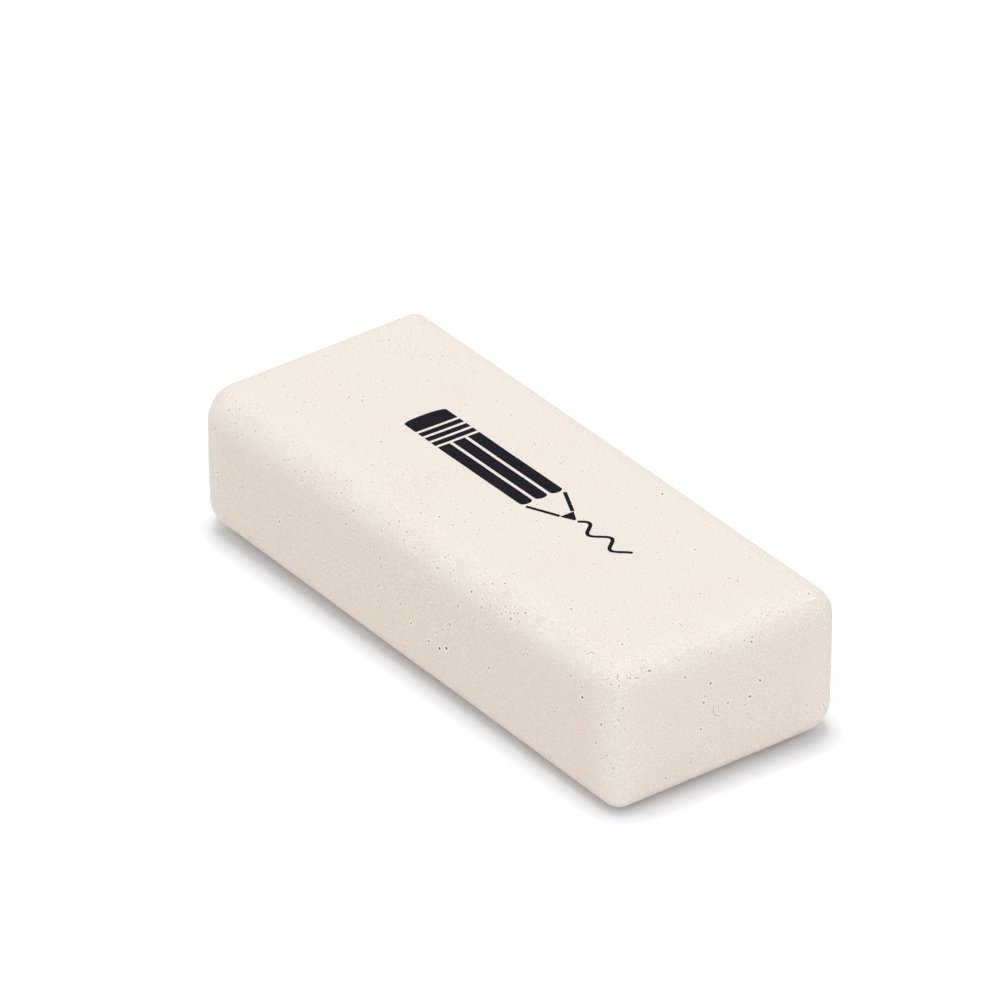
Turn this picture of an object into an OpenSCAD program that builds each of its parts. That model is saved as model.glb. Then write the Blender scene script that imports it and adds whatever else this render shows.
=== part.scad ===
// Natural rubber eraser: one solid block, cut from a moulded sheet and tumbled
// until its edges and corners are round. Sizes are in millimetres.
// The origin is at the middle of the underside. X runs along the length,
// Y across the width and Z up; the front is the -Y side and the left end is at -X.

/* [Block] */
// Length from end to end
block_length = 60; // [45:0.5:75]
// Width from front to back
block_width = 23.4; // [16:0.1:30]
// Height from the underside to the top
block_height = 13.5; // [9:0.1:18]

/* [Left end rounding] */
// Radius of the front corner at the top
left_front_top_r = 3.2; // [0.5:0.1:4.4]
// Radius of the front corner at the underside
left_front_bottom_r = 3; // [0.5:0.1:4.4]
// Radius of the back corner at the top
left_back_top_r = 1.7; // [0.5:0.1:4.4]
// Radius of the back corner at the underside
left_back_bottom_r = 2.4; // [0.5:0.1:4.4]

/* [Right end rounding] */
// Radius of the front corner at the top
right_front_top_r = 2.8; // [0.5:0.1:4.4]
// Radius of the front corner at the underside
right_front_bottom_r = 1.7; // [0.5:0.1:4.4]
// Radius of the back corner at the top
right_back_top_r = 2.5; // [0.5:0.1:4.4]
// Radius of the back corner at the underside
right_back_bottom_r = 3; // [0.5:0.1:4.4]

/* [Smoothness] */
// Steps in each quarter turn of the rounding
quarter_steps = 10; // [4:1:16]

/* [Hidden] */

// Each corner of the block: its end, its side, its level and its radius.
// -1 is the left end, the front side and the underside.
corners = [
    [-1, -1, -1, left_front_bottom_r],
    [-1, -1,  1, left_front_top_r],
    [-1,  1, -1, left_back_bottom_r],
    [-1,  1,  1, left_back_top_r],
    [ 1, -1, -1, right_front_bottom_r],
    [ 1, -1,  1, right_front_top_r],
    [ 1,  1, -1, right_back_bottom_r],
    [ 1,  1,  1, right_back_top_r]
];

// A ball with points exactly at its poles and on its equator, so that it
// touches the block's six faces at their true places.
module ball(r) {
    rotate_extrude($fn = 4 * quarter_steps)
        polygon([
            for (step = [-quarter_steps : quarter_steps])
                let (angle = 90 * step / quarter_steps)
                    [r * cos(angle), r * sin(angle)]
        ]);
}

// One rounded corner, tucked into the three faces that meet there.
module rounded_corner(end, side, level, r) {
    half_height = block_height / 2;
    translate([
        end * (block_length / 2 - r),
        side * (block_width / 2 - r),
        half_height + level * (half_height - r)
    ])
        ball(r);
}

// The block: flat faces stretched between the corners, with edges whose
// rounding changes evenly from one corner to the next.
module eraser_block() {
    color("antiquewhite")
        hull()
            for (corner = corners)
                rounded_corner(corner[0], corner[1], corner[2], corner[3]);
}

eraser_block();
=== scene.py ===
import math
import random

import bmesh
import bpy
from mathutils import Matrix, Quaternion, Vector, noise
from mathutils.kdtree import KDTree


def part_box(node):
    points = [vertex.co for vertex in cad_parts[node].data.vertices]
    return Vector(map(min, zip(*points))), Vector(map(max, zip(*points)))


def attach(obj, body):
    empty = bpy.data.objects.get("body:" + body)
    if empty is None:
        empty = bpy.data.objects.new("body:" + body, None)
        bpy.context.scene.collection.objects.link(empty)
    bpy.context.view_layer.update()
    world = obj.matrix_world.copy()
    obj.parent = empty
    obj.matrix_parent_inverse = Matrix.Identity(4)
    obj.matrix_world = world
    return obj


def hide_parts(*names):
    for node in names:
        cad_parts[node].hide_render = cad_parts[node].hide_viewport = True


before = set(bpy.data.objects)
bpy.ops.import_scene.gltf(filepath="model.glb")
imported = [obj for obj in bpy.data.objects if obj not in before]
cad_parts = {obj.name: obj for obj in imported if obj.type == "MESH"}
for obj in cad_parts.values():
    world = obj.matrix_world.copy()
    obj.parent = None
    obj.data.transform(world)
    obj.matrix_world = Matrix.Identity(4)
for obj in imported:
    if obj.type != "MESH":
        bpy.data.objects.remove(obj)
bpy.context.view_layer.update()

# Shapes are worked out in millimetres, and turned to metres when a piece is finished.
mm = 0.001
blockLow, blockHigh = (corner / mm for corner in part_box("eraser_block"))
blockSize = blockHigh - blockLow
print("frame: a block of %.1f x %.1f x %.1f mm" % tuple(blockSize))

# The camera: a long lens, looking down on the front and the right end.
cameraView = {
    "azimuth": 54.43,  # degrees round from the front
    "elevation": 30.24,  # degrees above the desk
    "roll": -0.54,  # degrees
    "distance": 1015.2,  # mm
    "aim": (-2.65, 0.45, 10.64),  # mm, the point in the middle of the view
    "lens": 439.5,  # mm
    "sensor": 36,  # mm
    "farEnd": 20,  # m, as far as it sees
}


def makeCamera():
    azimuth, elevation = (math.radians(cameraView[angle]) for angle in ("azimuth", "elevation"))
    back = Vector((math.sin(azimuth) * math.cos(elevation),
                   -math.cos(azimuth) * math.cos(elevation),
                   math.sin(elevation)))
    level = Vector((0, 0, 1)).cross(back).normalized()
    right = Quaternion(back, math.radians(cameraView["roll"])) @ level
    camera = bpy.data.objects.new("camera", bpy.data.cameras.new("camera"))
    camera.data.lens = cameraView["lens"]
    camera.data.sensor_width = cameraView["sensor"]
    camera.data.clip_end = cameraView["farEnd"]
    place = (Vector(cameraView["aim"]) + back * cameraView["distance"]) * mm
    axes = Matrix((right, back.cross(right), back)).transposed()
    camera.matrix_world = Matrix.Translation(place) @ axes.to_4x4()
    bpy.context.collection.objects.link(camera)
    bpy.context.scene.camera = camera


makeCamera()
print("camera placed")

# The form of the rubber block.
rubberBlock = {
    "cell": 0.56,  # mm, side of a mesh cell on plain rubber
    "fineCell": 0.07,  # mm, round a pore
    "finestCell": 0.035,  # mm, round the pores that stand out
    "refineReach": 0.75,  # how far from a mark a cell is halved, as a share of the cell
    "skinAndShadeStart": 1.2,  # mm from an edge, where the paler tumbled edge, partly a painted highlight, gives way to the darker moulded skin
    "skinAndShadeWidth": 3.6,  # mm over which it does
    "skinAndShadeBelow": 2.5,  # mm, how much further down the sides the darker skin goes: painted shade, darker towards the bottom
    "skinAndShadeWobble": 0.15,  # how unevenly it ends
    "topWearAndLight": 0.9,  # share of it that is rubbed off the top, which also paints the top lighter than the sides, as the light falls
    "endWearAndLight": 0.4,  # and off the ends, which paints them lighter than the long sides
    "hollowLength": 17,  # mm between the slow hollows of the faces
    "hollowDepth": 0.04,  # mm
    "hollowShift": (3.1, 7.7, 1.3),  # another shift puts them in other places
    "dimpleLength": 4,  # mm between the small ones left by tumbling
    "dimpleDepth": 0.02,  # mm
    "dimpleShift": (9.4, 2.6, 5.8),
    "rimHighlight": 0.14,  # mm, width of the paler rim round a pore or cut, partly a painted highlight
    "fullShade": 1.6,  # the higher, the more of a pore's width is fully dark
    "scuffHeight": 0.02,  # mm, how far rubbed skin stands up
    "leastDepth": 0.015,  # mm, so that the ink on top stays inside the block's height
}


def cornerRadius(corner, points):
    # A ball tucked into a corner comes within (root 3 - 1) of its radius of that corner.
    return min((point - corner).length for point in points) / (math.sqrt(3) - 1)


cadPoints = [vertex.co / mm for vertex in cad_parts["eraser_block"].data.vertices]
cornerRadii = {
    (i, j, k): cornerRadius(Vector((blockLow.x + i * blockSize.x,
                                    blockLow.y + j * blockSize.y,
                                    blockLow.z + k * blockSize.z)), cadPoints)
    for i in (0, 1) for j in (0, 1) for k in (0, 1)
}


def onBlock(point):
    # The nearest place on the rounded block, and the way that its surface faces there.
    share = [min(max((point[i] - blockLow[i]) / blockSize[i], 0), 1) for i in range(3)]
    radius = sum(r * math.prod(s if side else 1 - s for s, side in zip(share, corner))
                 for corner, r in cornerRadii.items())
    core = Vector([min(max(point[i], blockLow[i] + radius), blockHigh[i] - radius) for i in range(3)])
    facing = (point - core).normalized()
    return core + facing * radius, facing


def hollow(point):
    # Depth of the slow unevenness of the tumbled faces, always inwards.
    slow = noise.noise(point / rubberBlock["hollowLength"] + Vector(rubberBlock["hollowShift"]))
    dimple = noise.noise(point / rubberBlock["dimpleLength"] + Vector(rubberBlock["dimpleShift"]))
    return (rubberBlock["leastDepth"] + rubberBlock["hollowDepth"] * (0.5 + slow) ** 2
            + rubberBlock["dimpleDepth"] * (0.5 + dimple) ** 2)


# Pores, cuts, scuffs and dents. Each is a groove along a short line, or a round pit where the line
# has no length. The line runs towards a point, or at a turn from the long way of its face. A mark
# with a lip has a paler rim of that width, partly a painted highlight, as strong as its worn setting.
# One without is crinkled instead, in painted highlight and shade.
def makeMark(place, turn=0, towards=None, halfLength=0, halfWidth=0, depth=0, shade=0, bend=0,
             worn=0, lip=0, cell=rubberBlock["fineCell"]):
    position, facing = onBlock(Vector(place))
    onEnd = abs(facing.x) >= 0.8
    axis = Vector((0, 1, 0)) if onEnd else Vector((1, 0, 0))
    if towards:
        axis = onBlock(Vector(towards))[0] - position
    along = (axis - facing * axis.dot(facing)).normalized()
    along = Quaternion(facing, math.radians(turn)) @ along
    return {
        "position": position,
        "along": along,
        "across": facing.cross(along),
        "halfLength": halfLength,
        "halfWidth": halfWidth,
        "depth": depth,
        "shade": shade,
        "bend": bend,
        "worn": worn,
        "lip": lip,
        "cell": cell,
    }


def strokeMark(start, end, **settings):
    # A mark along the straight line between two places.
    start, end = Vector(start), Vector(end)
    halfLength = (end - start).length / 2
    return makeMark((start + end) / 2, towards=end, halfLength=halfLength, **settings)


# A place on a face is given by two of its distances: top is (x, y), front (x, z) and end (y, z).
faces = {
    "top": lambda x, y: (x, y, blockHigh.z),
    "front": lambda x, z: (x, blockLow.y, z),
    "end": lambda y, z: (blockHigh.x, y, z),
}

# The few pores that stand out, dark with dust and painted shade. Each has a paler rim, burnished by
# tumbling and a painted highlight.
poreSizes = {
    "deepest": {"halfWidth": 0.13, "depth": 0.12, "shade": 0.95, "worn": 1.0},
    "large": {"halfWidth": 0.1, "depth": 0.1, "shade": 0.68, "worn": 0.9},
}
clearPores = [
    ("top", "large", [(0.5, -8), (8.5, 9), (19, -8), (26, -8)]),
    ("front", "deepest", [(5.5, 4.5), (6.5, 5), (25.5, 9.5)]),
    ("front", "large", [(-3, 6.5), (1.5, 5), (4, 4.5), (7, 7.5), (12.5, 6)]),
    ("end", "large", [(-3, 5.5), (-2, 9.5), (3, 8)]),
]

# Fine cuts that have closed up again: the ones that stand out, from end to end.
fineCuts = [
    ((26.1, -2.3, 13.5), (26.7, -2.4, 13.5)),  # top, towards the right end
    ((24.7, -10.7, 12.9), (25.0, -10.35, 13.1)),  # long edge over the front
    ((25.0, -10.35, 13.1), (25.35, -10.35, 13.1)),
    ((28.6, -10.35, 12.7), (28.75, -10.55, 12.4)),  # near corner
    ((29.1, -10.6, 12.0), (29.2, -10.7, 11.8)),
    ((29.2, -9.85, 12.5), (29.35, -9.6, 12.4)),
    ((29.45, -9.25, 12.35), (29.55, -8.9, 12.35)),
    ((30, -1.75, 7.3), (30, -1.7, 6.5)),  # right end
    ((30, -1.65, 6.4), (30, -1.15, 6.1)),
    ((30, -3.8, 3.1), (30, -4.1, 2.6)),
    ((16.2, -11.5, 11.7), (16.2, -11.3, 12.2)),  # front
    ((12.4, -11.6, 11.4), (12.4, -11.4, 12.0)),
    ((20.6, -11.7, 1.8), (20.8, -11.7, 1.5)),
    ((20.8, -11.7, 1.5), (21.1, -11.7, 1.6)),
    ((-19.2, -1.8, 13.5), (-18.8, -2.1, 13.5)),  # top, round the print
    ((-4.8, 5.5, 13.5), (-4.3, 5.3, 13.5)),
]
cutKinds = {
    "clear": {"halfWidth": 0.065, "depth": 0.05, "shade": 0.3, "worn": 0.6},
    "other": {"halfWidth": 0.08, "depth": 0.06, "shade": 0.35},  # on the hidden faces
}

# Sprays of small open pores, from end to end.
sprays = [
    ((-4, -11.2, 12.3), (8, -11.3, 12.2), 0.5, 16),  # spread in mm, and number of pores
    ((10, -11.5, 11.8), (17, -11.4, 12), 0.35, 8),
    ((29.6, 9, 3.2), (29.5, 10.4, 4), 0.35, 4),
]
sprayPore = {"halfWidth": (0.06, 0.09), "shade": (0.15, 0.5), "worn": (0.4, 0.9)}

# Rubbed places, from end to end: a crinkled skin, painted in pale highlights and darker shade along the
# edges. Most lie along the edge over the right end.
scuffs = [
    ((28.9, -10.2, 12.6), (29.3, -8.4, 12.6), 0.2, 0.5),  # half width in mm, and strength
    ((29.3, -8.4, 12.6), (29.25, -6.0, 12.65), 0.18, 0.55),
    ((29.25, -6.0, 12.65), (28.95, -2.0, 12.9), 0.18, 0.5),
    ((28.95, -2.0, 12.9), (28.7, 1.8, 13.1), 0.2, 0.35),
    ((28.75, 3.9, 13.1), (28.8, 5.6, 13.1), 0.2, 1.2),
    ((28.8, 5.6, 13.1), (28.85, 8.3, 13.1), 0.14, 0.5),
    ((28.85, 8.3, 13.1), (28.95, 9.5, 13.05), 0.19, 1.0),
    ((29.3, -10.75, 11.4), (29.15, -11.1, 8.0), 0.3, 0.4),
    ((18.9, -11.3, 12.3), (19.2, -10.0, 13.3), 0.8, 0.45),
    ((26.2, -11.2, 12.2), (26.9, -10.6, 12.8), 0.45, 0.4),
    ((20.5, -11.3, 12.2), (22.0, -10.9, 12.7), 0.5, 0.4),
]

# Dents: where the skin was pressed in or is missing.
dents = [
    ((-29.3, -11.0, 3.6), (-29.3, -11.0, 1.0), 1.2, 0.34),  # half width and depth in mm
    ((-10.5, -11.7, 8.5), (-7.5, -11.7, 8.0), 1.6, 0.04),
    ((6.0, 2.0, 0.0), (12.0, 3.5, 0.0), 2.0, 0.05),
    ((4.0, 11.7, 5.0), (7.0, 11.7, 7.0), 1.5, 0.05),
]

# What is spread by chance: smaller pores over the whole block, and cuts on its hidden faces.
scatter = {
    "seed": 41,
    "pores": 980,
    "halfWidth": (0.06, 0.11),  # mm, of the smallest and the largest
    "shade": (0.16, 0.72),  # how dark they are
    "worn": (0.25, 0.9),  # how strong their paler rims, partly a painted highlight, are
    "fewLarge": 6,  # the higher, the fewer of them are large and dark
    "depth": 0.8,  # share of the half width
    "halfLength": 0.07,  # mm, the longest
    "turn": 90,  # degrees either way from the long way of the face
    "clearTurn": 60,  # and of the pores that stand out
    "faceShares": (1.8, 2.2, 0.7),  # how thick on the ends, the long sides, and the top and underside
    "leftShare": 0.6,  # how thick they lie at the left end, beside the right end
    "edgeShare": 0.12,  # share that lies along an edge, where tumbling opens the skin
    "clumped": 0.3,  # share that lies beside another pore
    "clumpSize": 0.9,  # mm
    "apart": 0.3,  # mm, the closest that two may lie
    "cutTries": 26,  # a try that doesn't fall on a hidden face is dropped
    "cutHalfLength": (0.12, 0.35),  # mm
    "cutBend": 0.6,  # per mm, the most
    "clear": (-17, 18, -3.6, 5.0),  # mm in x and y: the printed part of the top has none
}


def randomPlace():
    # Somewhere on the six faces, by their area, and thinner towards the left end.
    areas = (blockSize.y * blockSize.z, blockSize.x * blockSize.z, blockSize.x * blockSize.y)
    weights = [area * share for area, share in zip(areas, scatter["faceShares"])]
    while True:
        axis = random.choices((0, 1, 2), weights=weights)[0]
        place = Vector([random.uniform(blockLow[i], blockHigh[i]) for i in range(3)])
        place[axis] = random.choice((blockLow[axis], blockHigh[axis]))
        share = (place.x - blockLow.x) / blockSize.x
        if random.random() > scatter["leftShare"] + (1 - scatter["leftShare"]) * share:
            continue
        if random.random() > scatter["edgeShare"]:
            return place
        beside = (axis + random.choice((1, 2))) % 3
        place[beside] = random.choice((blockLow[beside], blockHigh[beside]))
        return placeBeside(onBlock(place)[0])


def placeBeside(other):
    facing = onBlock(other)[1]
    offset = Vector([random.gauss(0, scatter["clumpSize"]) for _ in range(3)])
    return other + offset - facing * offset.dot(facing)


def scatterPlace(taken):
    left, right, front, back = scatter["clear"]
    while True:
        clumped = random.random() < scatter["clumped"]
        place, facing = onBlock(placeBeside(random.choice(taken)) if clumped else randomPlace())
        onTop = facing.z > 0.9
        if onTop and left < place.x < right and front < place.y < back:
            continue
        if all((place - other).length > scatter["apart"] for other in taken):
            taken.append(place)
            return place, facing


def isHidden(facing):
    # Whether a place is on the left end, the back or the underside.
    return min(facing.x, -facing.y, facing.z) < -0.5


def between(limits, share):
    return limits[0] + share * (limits[1] - limits[0])


def eitherWay(most):
    return random.uniform(-most, most)


def makeMarks():
    random.seed(scatter["seed"])
    lip = rubberBlock["rimHighlight"]
    marks = []
    for face, size, places in clearPores:
        for place in places:
            marks.append(makeMark(faces[face](*place), eitherWay(scatter["clearTurn"]), lip=lip,
                                  halfLength=random.uniform(0, scatter["halfLength"]),
                                  cell=rubberBlock["finestCell"], **poreSizes[size]))
    for start, end in fineCuts:
        marks.append(strokeMark(start, end, lip=lip, **cutKinds["clear"]))
    for start, end, halfWidth, worn in scuffs:
        marks.append(strokeMark(start, end, halfWidth=halfWidth, depth=-rubberBlock["scuffHeight"],
                                worn=worn))
    for start, end, halfWidth, depth in dents:
        marks.append(strokeMark(start, end, halfWidth=halfWidth, depth=depth, cell=halfWidth))
    for start, end, spread, number in sprays:
        for _ in range(number):
            offset = Vector([random.gauss(0, spread) for _ in range(3)])
            share = random.random()
            halfWidth = between(sprayPore["halfWidth"], share)
            marks.append(makeMark(Vector(start).lerp(end, random.random()) + offset,
                                  eitherWay(scatter["turn"]), halfWidth=halfWidth, depth=halfWidth,
                                  halfLength=random.uniform(0, scatter["halfLength"]),
                                  shade=between(sprayPore["shade"], share),
                                  worn=between(sprayPore["worn"], share), lip=lip))
    taken = [mark["position"] for mark in marks]
    for _ in range(scatter["pores"]):
        place, _ = scatterPlace(taken)
        share = random.random() ** scatter["fewLarge"]
        halfWidth = between(scatter["halfWidth"], share)
        marks.append(makeMark(place, eitherWay(scatter["turn"]), halfWidth=halfWidth,
                              depth=scatter["depth"] * halfWidth,
                              halfLength=random.uniform(0, scatter["halfLength"]),
                              shade=between(scatter["shade"], share),
                              worn=between(scatter["worn"], share), lip=lip))
    for _ in range(scatter["cutTries"]):
        place, facing = scatterPlace(taken)
        if isHidden(facing):
            marks.append(makeMark(place, eitherWay(scatter["turn"]),
                                  halfLength=random.uniform(*scatter["cutHalfLength"]),
                                  bend=eitherWay(scatter["cutBend"]), **cutKinds["other"]))
    return marks


def distanceTo(mark, point):
    # From a point on the surface to the mark's middle line.
    offset = point - mark["position"]
    lengthwise = offset.dot(mark["along"])
    crosswise = offset.dot(mark["across"]) - mark["bend"] * lengthwise ** 2
    return math.hypot(max(abs(lengthwise) - mark["halfLength"], 0), crosswise)


def reachOf(mark):
    return mark["halfLength"] + mark["halfWidth"] + mark["lip"]


def subdivideAlong(mesh, axis, cuts):
    along = [edge for edge in mesh.edges
             if abs((edge.verts[0].co - edge.verts[1].co).normalized()[axis]) > 0.9]
    bmesh.ops.subdivide_edges(mesh, edges=along, cuts=cuts, use_grid_fill=True)


def refineRound(mesh, marks, cell):
    # Halves the cells on and beside the marks that need smaller ones. No cell further than two
    # cells past a mark's reach can be beside it.
    tree = KDTree(len(mesh.faces))
    mesh.faces.ensure_lookup_table()
    for face in mesh.faces:
        tree.insert(onBlock(face.calc_center_median())[0], face.index)
    tree.balance()
    chosen = set()
    for mark in marks:
        if mark["cell"] >= cell:
            continue
        for centre, index, _ in tree.find_range(mark["position"], reachOf(mark) + 2 * cell):
            if distanceTo(mark, centre) < mark["halfWidth"] + rubberBlock["refineReach"] * cell:
                chosen.update(mesh.faces[index].edges)
    bmesh.ops.subdivide_edges(mesh, edges=list(chosen), cuts=1, use_grid_fill=True)


def skinAndShadeShare(point, facing):
    # How much of the darker moulded skin colour is left: most low on the sides, less on the top, none
    # on the edges but those of the underside. It is partly painted light and shade: the top and the
    # edges paler, the sides darker, and darker towards the bottom.
    gaps = sorted((min(point.x - blockLow.x, blockHigh.x - point.x),
                   min(point.y - blockLow.y, blockHigh.y - point.y),
                   min(point.z - blockLow.z + rubberBlock["skinAndShadeBelow"], blockHigh.z - point.z)))
    away = (gaps[1] - rubberBlock["skinAndShadeStart"]) / rubberBlock["skinAndShadeWidth"]
    away += rubberBlock["skinAndShadeWobble"] * noise.noise(point / rubberBlock["dimpleLength"])
    worn = rubberBlock["topWearAndLight"] * max(facing.z, 0) + rubberBlock["endWearAndLight"] * abs(facing.x)
    return min(max(away, 0), 1) * (1 - worn)


def carve(mesh, marks):
    # Rounds the cube off to the block and presses the marks into it. The layers tell the material
    # where dust and painted shade darken the marks, where the paler rims are, partly a painted
    # highlight, where rubbed places crinkle in painted highlight and shade, and how much darker
    # moulded skin, partly painted shade, is left.
    layers = {name: mesh.verts.layers.float.new(name) for name in ("poreShade", "rimHighlight", "wearAndHighlight", "skinAndShade")}
    tree = KDTree(len(marks))
    for index, mark in enumerate(marks):
        tree.insert(mark["position"], index)
    tree.balance()
    reach = max(reachOf(mark) for mark in marks)
    for vertex in mesh.verts:
        point, facing = onBlock(vertex.co)
        depth, shade, rimHighlight, wearAndHighlight = hollow(point), 0, 0, 0
        for _, index, _ in tree.find_range(point, reach):
            mark = marks[index]
            away = distanceTo(mark, point)
            outside = away - mark["halfWidth"]
            if outside < 0:
                bowl = 1 - (away / mark["halfWidth"]) ** 2
                depth += mark["depth"] * bowl ** 2
                shade = max(shade, mark["shade"] * min(1, rubberBlock["fullShade"] * bowl))
                if not mark["lip"]:
                    wearAndHighlight = max(wearAndHighlight, mark["worn"] * bowl)
            elif outside < mark["lip"]:
                # A paler rim, partly a painted highlight.
                rimHighlight = max(rimHighlight, mark["worn"] * math.sin(math.pi * outside / mark["lip"]))
        vertex[layers["poreShade"]] = shade
        vertex[layers["rimHighlight"]] = rimHighlight
        vertex[layers["wearAndHighlight"]] = wearAndHighlight
        vertex[layers["skinAndShade"]] = skinAndShadeShare(point, facing)
        vertex.co = point - facing * depth


def finishMesh(mesh, name, material, smooth=True):
    bmesh.ops.scale(mesh, vec=(mm, mm, mm), verts=mesh.verts)
    bmesh.ops.recalc_face_normals(mesh, faces=mesh.faces)
    data = bpy.data.meshes.new(name)
    mesh.to_mesh(data)
    mesh.free()
    if smooth:
        data.shade_smooth()
    data.materials.append(material)
    piece = bpy.data.objects.new(name, data)
    bpy.context.collection.objects.link(piece)
    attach(piece, "root")
    print(name, "has", sum(len(face.vertices) - 2 for face in data.polygons), "triangles")
    return piece


def makeRubberBlock(material):
    mesh = bmesh.new()
    bmesh.ops.create_cube(mesh, size=1)
    bmesh.ops.scale(mesh, vec=blockSize, verts=mesh.verts)
    bmesh.ops.translate(mesh, vec=(blockLow + blockHigh) / 2, verts=mesh.verts)
    for axis in range(3):
        subdivideAlong(mesh, axis, round(blockSize[axis] / rubberBlock["cell"]) - 1)
    marks = makeMarks()
    cell = rubberBlock["cell"]
    while cell > rubberBlock["finestCell"]:
        refineRound(mesh, marks, cell)
        cell /= 2
    carve(mesh, marks)
    piece = finishMesh(mesh, "rubber_block", material)
    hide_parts("eraser_block")


def linearColour(hexCode):
    # From an sRGB hex code to linear numbers.
    shares = [int(hexCode[i:i + 2], 16) / 255 for i in (1, 3, 5)]
    return [s / 12.92 if s <= 0.04045 else ((s + 0.055) / 1.055) ** 2.4 for s in shares] + [1]


def addNode(tree, kind, settings=None, values=None, links=None):
    node = tree.nodes.new("ShaderNode" + kind)
    for name, value in (settings or {}).items():
        setattr(node, name, value)
    for socket, value in (values or {}).items():
        node.inputs[socket].default_value = value
    for socket, source in (links or {}).items():
        tree.links.new(source, node.inputs[socket])
    return node


# Natural rubber, moulded in a sheet, cut and tumbled. It is matte and cream, with a fine mineral
# grain. Tumbling has rubbed the edges paler than the moulded skin of the faces, and the colour also
# paints the top and edges lighter and the sides darker, as the light falls. Its pores look dark
# because dust settles in them, and because shade is painted in them.
naturalRubber = {
    "edge": "#F0E8DF",  # rubbed, and a painted highlight on the top and the edges
    "skinAndShade": "#EBDED2",  # as moulded, and painted shade on the sides
    "pink": "#EDE0D8",  # slightly pinker clouds
    "darkGrain": "#DACFC4",
    "paleGrain": "#FFFBF4",
    "dustAndShade": "#472D14",  # in the pores, and the painted shade in them
    "rimHighlight": "#FFF4EA",  # burnished, and a painted highlight, round the pores
    "tornAndLit": "#FFFCF4",  # the pale side of a crinkle, a painted highlight, and its hollow, painted shade
    "tornHollowAndShade": "#DED3C8",
    "roughness": 0.58,
    "roughnessSpread": 0.06,  # more or less, from cloud to cloud
    "ior": 1.52,
    "cloudSize": 7,  # mm
    "cloudRange": (0.3, 0.7),  # about the noise's lowest and highest
    "pinkRange": (0.45, 0.7),  # the part of it that is pinker
    "pinkShare": 0.3,  # how much pinker
    "grainSize": 0.1308,  # mm, a little coarser than real filler, so that it shows
    "grainMiddle": 0.5,  # the noise's middle, and how far from it the grain is strongest
    "grainSpread": 0.4,
    "grainShares": (0.52, 0.88),  # how strong it is in the thinnest and the thickest cloud
    "grainHeight": 0.01,  # mm
    "crinkleSize": 0.17,  # mm, in the rubbed places
    "crinkleRange": (0.38, 0.52),  # the noise from a hollow to a pale side
    "crinkleHeight": 0.025,  # mm
    "speckSpacing": 0.53,  # mm between the faintest specks
    "speckSize": 0.1,  # mm
    "speckShade": 0.75,
    "speckFewStrong": 3,  # the higher, the fewer of them are strong
    "speckRim": 0.19,  # mm, reach of its paler rim, a painted highlight
    "speckRimShade": 0.6,
    "speckCore": 0.4,  # share of either's reach that is at full strength
}


def mixed(tree, share, first, second):
    # A blend of two colours, each a hex code, linear numbers or the output of a node. Sockets 6
    # and 7 are the node's two colours.
    values, links = {}, {0: share}
    for socket, colour in ((6, first), (7, second)):
        if isinstance(colour, str):
            values[socket] = linearColour(colour)
        elif isinstance(colour, tuple):
            values[socket] = colour
        else:
            links[socket] = colour
    return addNode(tree, "Mix", {"data_type": "RGBA"}, values, links).outputs[2]


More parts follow.
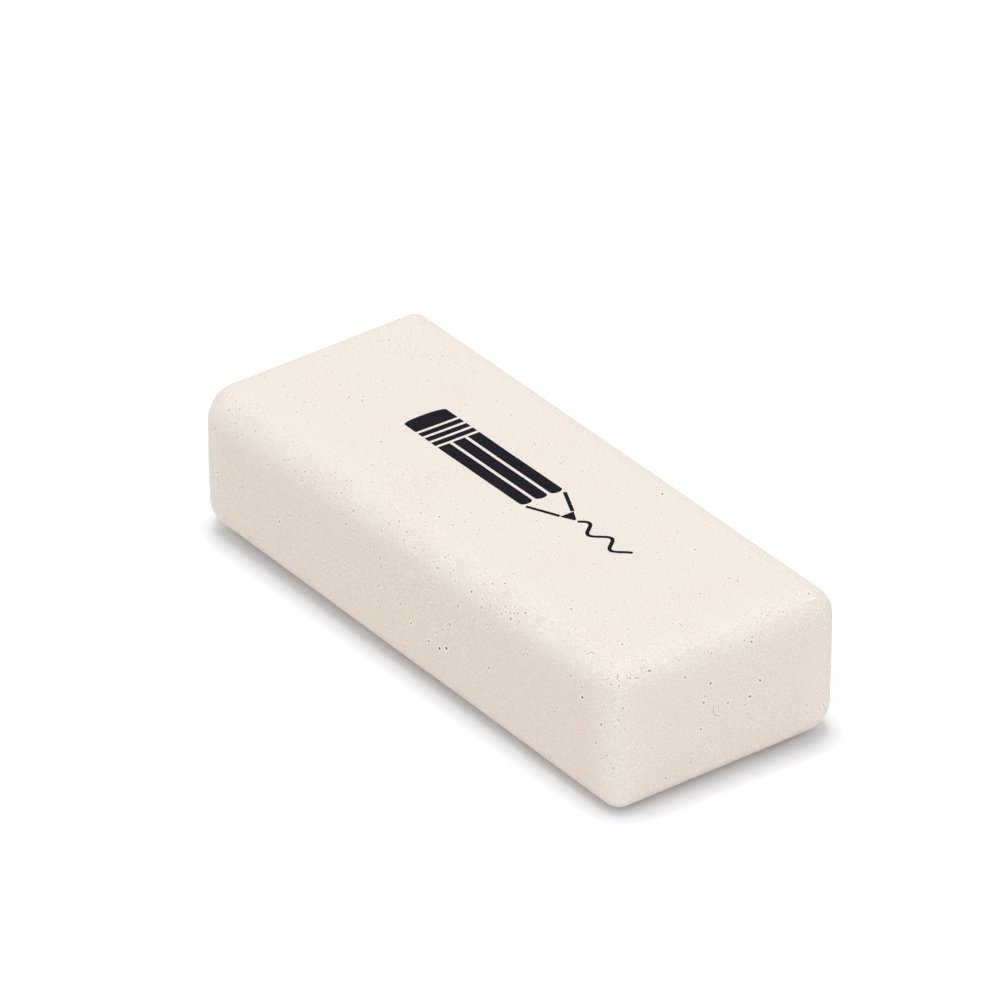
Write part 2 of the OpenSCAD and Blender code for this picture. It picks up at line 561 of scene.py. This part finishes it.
def rubberMaterial():
    look = naturalRubber
    material = bpy.data.materials.new("natural rubber, moulded and tumbled")
    material.use_nodes = True
    tree = material.node_tree
    tree.nodes.clear()
    place = addNode(tree, "TexCoord").outputs["Object"]
    skinAndShade, wearAndHighlight, rimHighlight, pore = (addNode(tree, "Attribute", {"attribute_name": name}).outputs["Fac"]
                             for name in ("skinAndShade", "wearAndHighlight", "rimHighlight", "poreShade"))

    cloud = addNode(tree, "TexNoise", values={"Scale": 1 / (look["cloudSize"] * mm), "Detail": 2},
                    links={"Vector": place})
    low, high = look["pinkRange"]
    pinkness = addNode(tree, "MapRange",
                       values={"From Min": low, "From Max": high, "To Max": look["pinkShare"]},
                       links={"Value": cloud.outputs["Fac"]})
    # Painted light and shade with the real skin: the paler edge colour on the top and edges, the darker
    # skin colour on the sides and low down.
    colour = mixed(tree, skinAndShade, look["edge"], look["skinAndShade"])
    colour = mixed(tree, pinkness.outputs["Result"], colour, look["pink"])

    # The filler isn't spread quite evenly, so the grain is stronger in some clouds.
    grain = addNode(tree, "TexNoise", values={"Scale": 1 / (look["grainSize"] * mm), "Detail": 0},
                    links={"Vector": place})
    low, high = look["cloudRange"]
    thin, thick = look["grainShares"]
    filler = addNode(tree, "MapRange",
                     values={"From Min": low, "From Max": high, "To Min": thin, "To Max": thick},
                     links={"Value": cloud.outputs["Fac"]})
    for name, way in (("darkGrain", -1), ("paleGrain", 1)):
        middle = look["grainMiddle"]
        share = addNode(tree, "MapRange",
                        values={"From Min": middle, "From Max": middle + way * look["grainSpread"]},
                        links={"Value": grain.outputs["Fac"], "To Max": filler.outputs["Result"]})
        colour = mixed(tree, share.outputs["Result"], colour, look[name])

    # The faintest specks: a small dot of dust and painted shade in most cells, each with its own
    # strength, in a paler rim that is a painted highlight.
    speck = addNode(tree, "TexVoronoi", values={"Scale": 1 / (look["speckSpacing"] * mm)},
                    links={"Vector": place})
    chance = addNode(tree, "SeparateColor", links={"Color": speck.outputs["Color"]})
    strength = addNode(tree, "Math", {"operation": "POWER"}, {1: look["speckFewStrong"]},
                       {0: chance.outputs["Red"]})
    for name, size, most in (("rimHighlight", look["speckRim"], look["speckRimShade"]),
                             ("dustAndShade", look["speckSize"], look["speckShade"])):
        reach = size / look["speckSpacing"]
        dot = addNode(tree, "MapRange",
                      values={"From Min": reach, "From Max": look["speckCore"] * reach, "To Max": most},
                      links={"Value": speck.outputs["Distance"]})
        specks = addNode(tree, "Math", {"operation": "MULTIPLY"},
                         links={0: dot.outputs["Result"], 1: strength.outputs["Value"]})
        colour = mixed(tree, specks.outputs["Value"], colour, look[name])

    # Rubbed skin is torn into fine crinkles, coloured pale as a painted highlight and darker in the
    # hollows as painted shade.
    crinkle = addNode(tree, "TexNoise", values={"Scale": 1 / (look["crinkleSize"] * mm), "Detail": 1},
                      links={"Vector": place})
    low, high = look["crinkleRange"]
    tornAndLit = addNode(tree, "MapRange", values={"From Min": low, "From Max": high},
                   links={"Value": crinkle.outputs["Fac"]}).outputs["Result"]
    rubbed = addNode(tree, "Math", {"operation": "MULTIPLY"}, links={0: tornAndLit, 1: wearAndHighlight})
    # Painted highlight and shade on the rubbed places.
    colour = mixed(tree, wearAndHighlight, colour, mixed(tree, tornAndLit, look["tornHollowAndShade"], look["tornAndLit"]))
    # Painted highlight, with burnish: the paler rim round each pore and cut.
    colour = mixed(tree, rimHighlight, colour, look["rimHighlight"])
    # Painted shade, with dust: the dark colour in each pore and cut.
    colour = mixed(tree, pore, colour, look["dustAndShade"])

    roughness = addNode(tree, "MapRange",
                        values={"To Min": look["roughness"] - look["roughnessSpread"],
                                "To Max": look["roughness"] + look["roughnessSpread"]},
                        links={"Value": cloud.outputs["Fac"]})
    relief = addNode(tree, "Math", {"operation": "MULTIPLY_ADD"},
                     {1: look["crinkleHeight"] / look["grainHeight"]},
                     {0: rubbed.outputs["Value"], 2: grain.outputs["Fac"]})
    bump = addNode(tree, "Bump", values={"Strength": 1, "Distance": look["grainHeight"] * mm},
                   links={"Height": relief.outputs["Value"]})
    shader = addNode(tree, "BsdfPrincipled", values={"IOR": look["ior"]},
                     links={"Base Color": colour, "Roughness": roughness.outputs["Result"],
                            "Normal": bump.outputs["Normal"]})
    addNode(tree, "OutputMaterial", links={"Surface": shader.outputs["BSDF"]})
    return material


makeRubberBlock(rubberMaterial())
print("rubber block made")

# The print on the top: a pencil drawing a wavy line, in one dark ink. Sizes are in mm, x along
# the block and y across it.
topPrint = {
    "middle": 0.7,  # y of the pencil's middle line
    "start": -14.0,  # x of its blunt end
    "height": 4.3,
    "gap": 0.32,  # bare rubber between two fields of ink
    "capLength": 2.0,
    "ferruleBands": 3,
    "bandLength": 0.62,
    "bodyLength": 12.0,
    "coneLength": 4.2,
    "stroke": 0.34,
    "strokeStop": 1.3,  # how far short of the tip the cone's two lines stop
    "strokeShare": 0.33,  # how far from the middle they are there, as a share of where they start
    "leadLength": 1.2,
    "leadWidths": (1.4, 0.2),
    "lineEnd": 14.8,
    "waveLength": 3.1,
    "waveHeight": 0.62,
    "film": 0.012,  # thickness above the rubber
    "root": 0.06,  # how far the film is sunk in
    "roundShare": 0.42,  # a round end's radius, as a share of its width
    "cell": 0.4,  # side of a mesh cell, and on the wavy line
    "waveCell": 0.08,
}
padInk = {
    "ink": "#0F0F18",
    "thin": "#171620",  # where the ink is thinner
    "roughness": 0.6,
    "roughnessSpread": 0.08,
    "ior": 1.5,
    "specular": 0.05,  # soaked in, so it shines less than a film would
    "mottleSize": 0.5,  # mm
    "mottleRange": (0.4, 0.75),  # the part of the noise where the ink grows thin
}


def inkBar(mesh, start, end, startWidth, endWidth=None, rounded=(), cell=topPrint["cell"]):
    # A flat field of ink from start to end. rounded names the ends that are round.
    start, end = Vector((*start, 0)), Vector((*end, 0))
    endWidth = startWidth if endWidth is None else endWidth
    narrower = min(startWidth, endWidth)
    length = (end - start).length
    cuts = max(2, math.ceil(length / cell))
    made = bmesh.ops.create_grid(mesh, x_segments=cuts, y_segments=2, size=0.5)["verts"]
    ends = {"start": [], "end": []}
    for vertex in made:
        share = vertex.co.x + 0.5
        vertex.co.x = share * length
        vertex.co.y *= startWidth + (endWidth - startWidth) * share
        isCorner = abs(vertex.co.y) > 0.01 and min(share, 1 - share) < 0.001
        if isCorner:
            ends["start" if share < 0.5 else "end"].append(vertex)
    turn = Matrix.Rotation(math.atan2(end.y - start.y, end.x - start.x), 3, "Z")
    bmesh.ops.rotate(mesh, verts=made, matrix=turn)
    bmesh.ops.translate(mesh, verts=made, vec=start)
    corners = [vertex for name in rounded for vertex in ends[name]]
    if corners:
        bmesh.ops.bevel(mesh, geom=corners, offset=topPrint["roundShare"] * narrower, segments=5,
                        profile=0.5, affect="VERTICES", material=-1)
    return made


def makeTopPrint(material):
    look = topPrint
    middle, height, gap = look["middle"], look["height"], look["gap"]
    mesh = bmesh.new()
    x = look["start"]
    inkBar(mesh, (x, middle), (x + look["capLength"], middle), height, rounded=("start",))
    x += look["capLength"] + gap
    for _ in range(look["ferruleBands"]):
        inkBar(mesh, (x, middle), (x + look["bandLength"], middle), height)
        x += look["bandLength"] + gap
    facet = (height - 2 * gap) / 3
    for step in (-1, 0, 1):
        y = middle + step * (facet + gap)
        inkBar(mesh, (x, y), (x + look["bodyLength"], y), facet, rounded=("end",))
    x += look["bodyLength"] + gap
    edge = height / 2 - look["stroke"] / 2
    tip = (x + look["coneLength"], middle)
    for side in (-1, 1):
        stop = (tip[0] - look["strokeStop"], middle + side * edge * look["strokeShare"])
        inkBar(mesh, (x, middle + side * edge), stop, look["stroke"])
    inkBar(mesh, (tip[0] - look["leadLength"], middle), tip, *look["leadWidths"])
    wave = inkBar(mesh, (tip[0] + gap, middle), (look["lineEnd"], middle), look["stroke"],
                  cell=look["waveCell"])
    for vertex in wave:
        # Moved square to the curve, so that the stroke stays as thick on the slopes.
        phase = (vertex.co.x - tip[0] - gap) / look["waveLength"] * math.tau
        slope = look["waveHeight"] * math.tau / look["waveLength"] * math.cos(phase)
        side = vertex.co.y - middle
        vertex.co.x -= side * math.sin(math.atan(slope))
        vertex.co.y = middle + look["waveHeight"] * math.sin(phase) + side * math.cos(math.atan(slope))
    # One mm thick for now, to tell the upper side from the lower.
    bmesh.ops.solidify(mesh, geom=mesh.faces[:], thickness=1)
    for vertex in mesh.verts:
        surface = blockHigh.z - hollow(Vector((vertex.co.x, vertex.co.y, blockHigh.z)))
        upper = vertex.co.z > -0.5
        vertex.co.z = surface + (look["film"] if upper else -look["root"])
    finishMesh(mesh, "top_print", material, smooth=False)


# Pad-printed ink on rubber: dense, dark and duller than the rubber round it, with a slight mottle
# where the film is thin.
def inkMaterial():
    material = bpy.data.materials.new("pad-printed ink on rubber")
    material.use_nodes = True
    tree = material.node_tree
    tree.nodes.clear()
    place = addNode(tree, "TexCoord").outputs["Object"]
    mottle = addNode(tree, "TexNoise", values={"Scale": 1 / (padInk["mottleSize"] * mm), "Detail": 4},
                     links={"Vector": place})
    low, high = padInk["mottleRange"]
    share = addNode(tree, "MapRange", values={"From Min": low, "From Max": high},
                    links={"Value": mottle.outputs["Fac"]})
    colour = mixed(tree, share.outputs["Result"], padInk["ink"], padInk["thin"])
    roughness = addNode(tree, "MapRange",
                        values={"To Min": padInk["roughness"] - padInk["roughnessSpread"],
                                "To Max": padInk["roughness"] + padInk["roughnessSpread"]},
                        links={"Value": mottle.outputs["Fac"]})
    shader = addNode(tree, "BsdfPrincipled",
                     values={"IOR": padInk["ior"], "Specular IOR Level": padInk["specular"]},
                     links={"Base Color": colour, "Roughness": roughness.outputs["Result"]})
    addNode(tree, "OutputMaterial", links={"Surface": shader.outputs["BSDF"]})
    return material


makeTopPrint(inkMaterial())
print("print made")

# The setting: a white floor that keeps a soft shadow, deepened by a painted contact shadow right
# under the block's edge, one lamp high above, three low ones round the front, the right and the left,
# and an even, slightly warm sky.
setting = {
    "floorSize": 6,  # m
    "floorDrop": 0.02,  # mm under the block, so that no two faces lie in one plane
    "floorColour": "#F4F4F4",
    "floorSeen": (1.12, 1.16, 1.195, 1),  # linear, the floor as it is seen: white where it is lit
    "contactSeen": (0.8, 0.855, 0.905, 1),  # and right under the block's rounded edge: a painted contact shadow
    "contactReach": 0.0032,  # m
    "shadowReach": (0.08, 0.16),  # m from the middle: the floor that can hold the shadow ends here
    "skyColour": "#FFFCFB",
    "skyStrength": 0.6,
    "lampDistance": 0.8,  # m
    "lampSize": 0.36,  # m across
    "lamps": {
        # azimuth round from the front and elevation in degrees, power in W, and colour
        "top lamp": (242, 83.5, 2.53, "#FDFEFF"),
        "front lamp": (55, 12, 0.96, "#FFFEFE"),
        "side lamp": (118, 12, 0.22, "#FFFEFE"),
        "left lamp": (310, 15, 0.2, "#FFFEFE"),
    },
}


def seenDirectly(tree):
    # 1 for the rays that show the background itself, 0 for the light that it gives the object.
    rays = addNode(tree, "LightPath")
    seen = rays.outputs["Is Camera Ray"]
    for kind in ("Is Glossy Ray", "Is Transmission Ray"):
        seen = addNode(tree, "Math", {"operation": "MAXIMUM"},
                       links={0: seen, 1: rays.outputs[kind]}).outputs["Value"]
    return seen


def makeFloor():
    material = bpy.data.materials.new("white table")
    material.use_nodes = True
    tree = material.node_tree
    tree.nodes.clear()
    seen = seenDirectly(tree)
    # Painted shadow: the floor is seen darker where ambient occlusion finds the block close by.
    clear = addNode(tree, "AmbientOcclusion", {"samples": 8}, {"Distance": setting["contactReach"]})
    shown = mixed(tree, clear.outputs["AO"], setting["contactSeen"], setting["floorSeen"])
    colour = mixed(tree, seen, setting["floorColour"], shown)
    matte = addNode(tree, "BsdfDiffuse", links={"Color": colour})
    # Past the shadow's reach it is seen as plain white, right out to the horizon.
    place = addNode(tree, "TexCoord").outputs["Object"]
    away = addNode(tree, "VectorMath", {"operation": "LENGTH"}, links={0: place})
    near, far = setting["shadowReach"]
    share = addNode(tree, "MapRange", {"interpolation_type": "SMOOTHSTEP"},
                    {"From Min": near, "From Max": far}, {"Value": away.outputs["Value"]})
    plain = addNode(tree, "Math", {"operation": "MULTIPLY"}, links={0: share.outputs["Result"], 1: seen})
    white = addNode(tree, "Emission", values={"Color": (1, 1, 1, 1), "Strength": 1})
    mix = addNode(tree, "MixShader", links={0: plain.outputs["Value"], 1: matte.outputs["BSDF"],
                                            2: white.outputs["Emission"]})
    addNode(tree, "OutputMaterial", links={"Surface": mix.outputs["Shader"]})
    mesh = bmesh.new()
    bmesh.ops.create_grid(mesh, x_segments=1, y_segments=1, size=setting["floorSize"] / 2)
    bmesh.ops.translate(mesh, verts=mesh.verts, vec=(0, 0, -setting["floorDrop"] * mm))
    data = bpy.data.meshes.new("floor")
    mesh.to_mesh(data)
    mesh.free()
    data.materials.append(material)
    floor = bpy.data.objects.new("floor", data)
    bpy.context.collection.objects.link(floor)


def makeLights():
    world = bpy.data.worlds.new("sky")
    bpy.context.scene.world = world
    world.use_nodes = True
    tree = world.node_tree
    tree.nodes.clear()
    sky = addNode(tree, "Background", values={"Color": linearColour(setting["skyColour"]),
                                              "Strength": setting["skyStrength"]})
    white = addNode(tree, "Background", values={"Color": (1, 1, 1, 1), "Strength": 1})
    mix = addNode(tree, "MixShader", links={0: seenDirectly(tree), 1: sky.outputs["Background"],
                                            2: white.outputs["Background"]})
    addNode(tree, "OutputWorld", links={"Surface": mix.outputs["Shader"]})
    middle = (blockLow + blockHigh) / 2 * mm
    for name, (azimuth, elevation, power, colour) in setting["lamps"].items():
        azimuth, elevation = math.radians(azimuth), math.radians(elevation)
        away = Vector((math.sin(azimuth) * math.cos(elevation),
                       -math.cos(azimuth) * math.cos(elevation),
                       math.sin(elevation)))
        lamp = bpy.data.objects.new(name, bpy.data.lights.new(name, "AREA"))
        lamp.data.shape = "DISK"
        lamp.data.size = setting["lampSize"]
        lamp.data.energy = power
        lamp.data.color = linearColour(colour)[:3]
        lamp.location = middle + away * setting["lampDistance"]
        lamp.rotation_euler = away.to_track_quat("Z", "Y").to_euler()
        bpy.context.collection.objects.link(lamp)
    bpy.context.scene.view_settings.view_transform = "Standard"


makeFloor()
makeLights()
print("floor and lights made")
